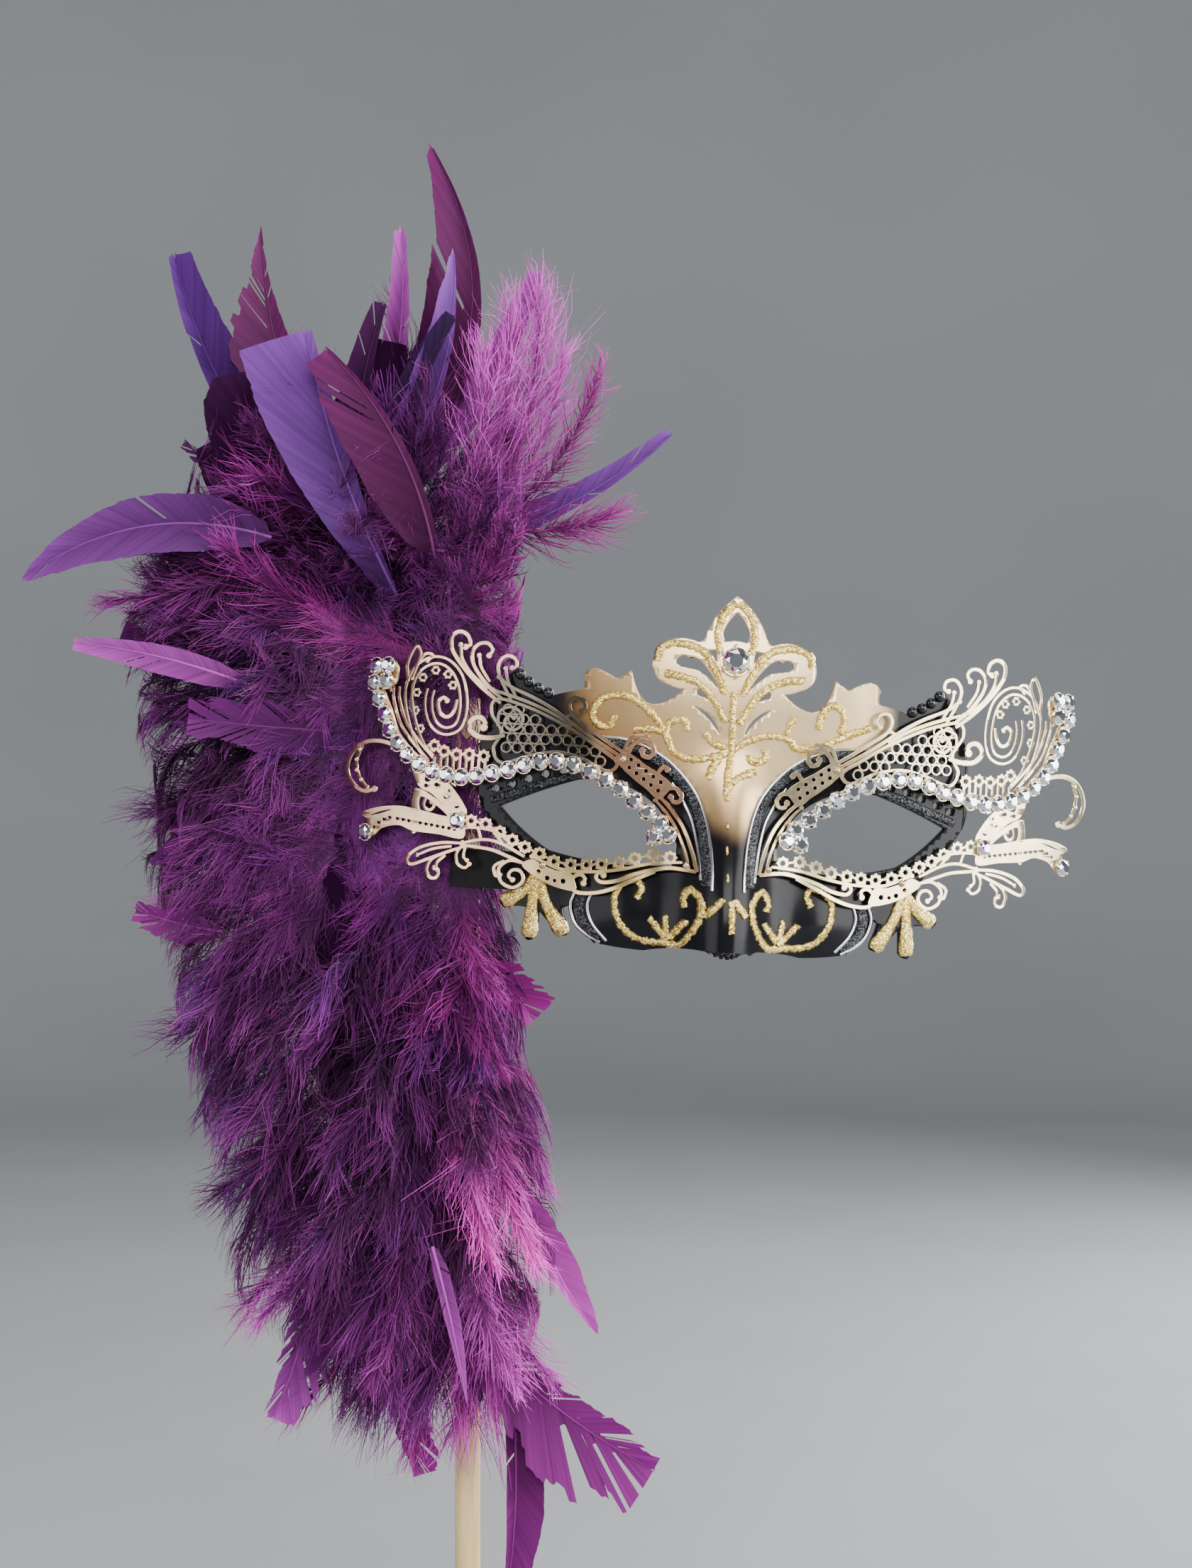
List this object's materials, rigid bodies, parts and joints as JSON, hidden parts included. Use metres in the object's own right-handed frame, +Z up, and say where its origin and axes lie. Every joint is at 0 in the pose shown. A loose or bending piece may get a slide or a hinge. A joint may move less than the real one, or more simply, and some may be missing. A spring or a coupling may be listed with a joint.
{
  "type": "feathered masquerade mask on a stick",
  "caption": "Half mask with pierced metal lace and stone trim, held up on a wooden stick with a feather plume, for holding in front of the face.",
  "frame": {"origin": "centre of the stick's bottom end, where the hand holds it", "axes": "+X to the viewer's right across the mask, -Y towards the viewer, +Z up the stick"},
  "size_m": [0.2992, 0.1309, 0.463],
  "materials": {
    "wood": "plain sanded",
    "mask_shell": "champagne gold fading to gloss black",
    "black_tab": "gloss black",
    "crystal": "clear foil-backed faceted",
    "gilt_lace": "pale rose-gold polished",
    "feather": "dyed purple feathers"
  },
  "bodies": {
    "root": {"stick": "wood", "mask_base": "mask_shell", "side_tab": "black_tab", "crown_stone": "crystal", "filigree_left": "gilt_lace", "filigree_right": "gilt_lace", "rhinestone_row_left": "crystal", "rhinestone_row_right": "crystal", "root_stone_left": "crystal", "root_stone_right": "crystal", "tip_stone_left": "crystal", "tip_stone_right": "crystal", "feather_plume": "feather"}
  },
  "joints": []
}
